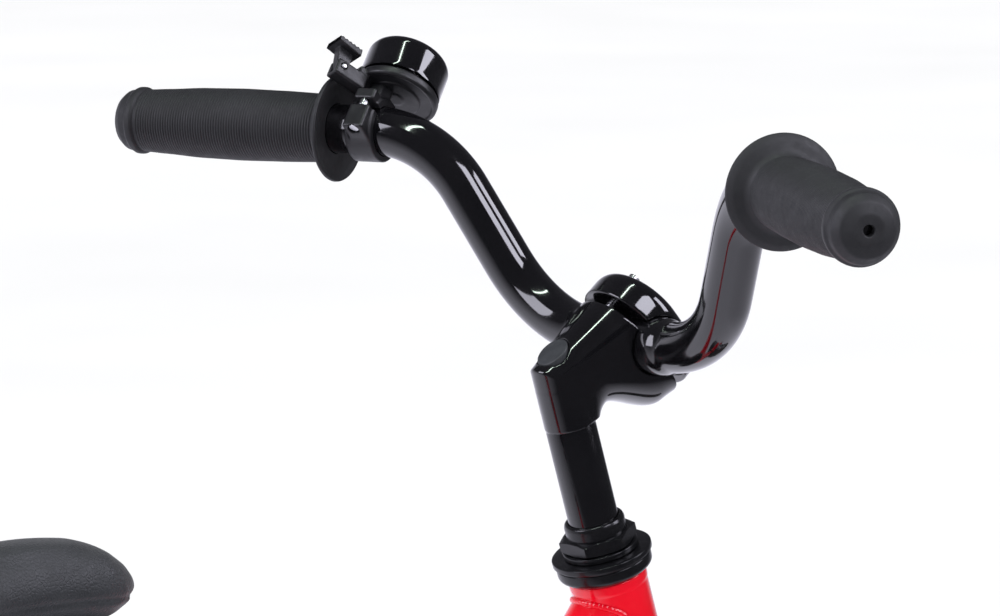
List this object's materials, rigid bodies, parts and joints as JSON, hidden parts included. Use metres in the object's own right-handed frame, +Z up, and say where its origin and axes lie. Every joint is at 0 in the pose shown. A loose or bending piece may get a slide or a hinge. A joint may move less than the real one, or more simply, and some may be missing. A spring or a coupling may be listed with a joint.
{
  "type": "balance bike",
  "caption": "Child's balance bike without pedals: steel frame, spoked wheels with air tyres, padded saddle, quill stem and rise handlebar with a thumb bell.",
  "frame": {"origin": "on the floor, midway between the front of the front tyre and the back of the rear tyre, on the bike's middle plane", "axes": "+X forwards, +Y the rider's left, +Z up"},
  "size_m": [0.8852, 0.5136, 0.639],
  "materials": {
    "red_paint": "gloss",
    "black_paint": "gloss",
    "satin_black": "satin",
    "grip_rubber": "matte",
    "tyre_rubber": "matte",
    "black_plastic": "matte",
    "grey_plastic": "matte",
    "saddle_vinyl": "matte",
    "bright_steel": "satin",
    "aluminium": "satin"
  },
  "bodies": {
    "frame": {"head_tube": "red_paint", "main_tube": "red_paint", "seat_tube": "red_paint", "seat_stay_left": "red_paint", "seat_stay_right": "red_paint", "chain_stay_left": "red_paint", "chain_stay_right": "red_paint", "headset_upper_cup": "satin_black", "headset_lower_cup": "satin_black", "seat_collar": "black_paint", "seat_collar_bolt": "bright_steel", "rear_axle": "bright_steel", "rear_nut_left": "bright_steel", "rear_nut_right": "bright_steel"},
    "fork": {"steerer_tube": "satin_black", "fork_crown": "red_paint", "fork_blade_left": "red_paint", "fork_blade_right": "red_paint", "headset_cover": "satin_black", "headset_washer": "satin_black", "headset_locknut": "satin_black", "front_axle": "bright_steel", "front_nut_left": "bright_steel", "front_nut_right": "bright_steel"},
    "front_wheel": {"front_tyre": "tyre_rubber", "front_rim": "aluminium", "front_hub": "aluminium", "front_spokes_left": "bright_steel", "front_spokes_right": "bright_steel", "front_valve": "black_plastic"},
    "rear_wheel": {"rear_tyre": "tyre_rubber", "rear_rim": "aluminium", "rear_hub": "aluminium", "rear_spokes_left": "bright_steel", "rear_spokes_right": "bright_steel", "rear_valve": "black_plastic"},
    "stem": {"stem": "black_paint", "stem_wedge": "bright_steel", "stem_bolt": "bright_steel", "stem_plug": "grey_plastic", "stem_cap": "black_paint", "cap_screw_upper": "bright_steel", "cap_screw_lower": "bright_steel"},
    "handlebar": {"handlebar": "black_paint", "grip_left": "grip_rubber", "grip_right": "grip_rubber", "bell_clamp": "black_plastic", "bell_clamp_screw": "bright_steel", "bell_base": "black_plastic", "bell_dome": "black_paint", "bell_lever_pin": "bright_steel"},
    "bell_lever": {"bell_lever": "black_plastic"},
    "bell_striker": {"bell_striker": "bright_steel"},
    "seatpost": {"seatpost": "bright_steel", "saddle_clamp": "satin_black", "saddle_rails": "bright_steel", "saddle_base": "black_plastic", "saddle_pad": "saddle_vinyl"},
    "seat_lever": {"seat_lever": "black_paint"}
  },
  "joints": [
    {"name": "steering", "type": "hinge", "parent": "frame", "child": "fork", "pos_m": [0.18235, 0, 0.415], "axis": [-0.2924, 0, 0.9563], "range_deg": [-90, 90]},
    {"name": "front_wheel_spin", "type": "hinge", "parent": "fork", "child": "front_wheel", "pos_m": [0.29265, 0, 0.15], "axis": [0, 1, 0], "continuous": true},
    {"name": "rear_wheel_spin", "type": "hinge", "parent": "frame", "child": "rear_wheel", "pos_m": [-0.29265, 0, 0.15], "axis": [0, 1, 0], "continuous": true},
    {"name": "stem_height", "type": "slide", "parent": "fork", "child": "stem", "axis": [-0.2924, 0, 0.9563], "range_m": [-0.025, 0.015]},
    {"name": "handlebar_roll", "type": "hinge", "parent": "stem", "child": "handlebar", "pos_m": [0.19626, 0, 0.50994], "axis": [0, 1, 0], "range_deg": [-20, 20]},
    {"name": "bell_lever_press", "type": "hinge", "parent": "handlebar", "child": "bell_lever", "pos_m": [0.1466, 0.1439, 0.6207], "axis": [-0.0304, -0.9129, 0.407], "range_deg": [0, 20], "stiffness_Nm_per_rad": 0.03},
    {"name": "bell_striker_swing", "type": "hinge", "parent": "handlebar", "child": "bell_striker", "pos_m": [0.18135, 0.13172, 0.61309], "axis": [0.6232, 0.301, 0.7218], "range_deg": [-20, 0]},
    {"name": "seatpost_height", "type": "slide", "parent": "frame", "child": "seatpost", "axis": [-0.2924, 0, 0.9563], "range_m": [-0.035, 0.025]},
    {"name": "seat_lever_open", "type": "hinge", "parent": "frame", "child": "seat_lever", "pos_m": [-0.18269, 0.0142, 0.32182], "axis": [-0.2924, 0, 0.9563], "range_deg": [0, 160]}
  ],
  "couplings": [
    {"joint": "bell_striker_swing", "follows": "bell_lever_press", "ratio": -1}
  ]
}
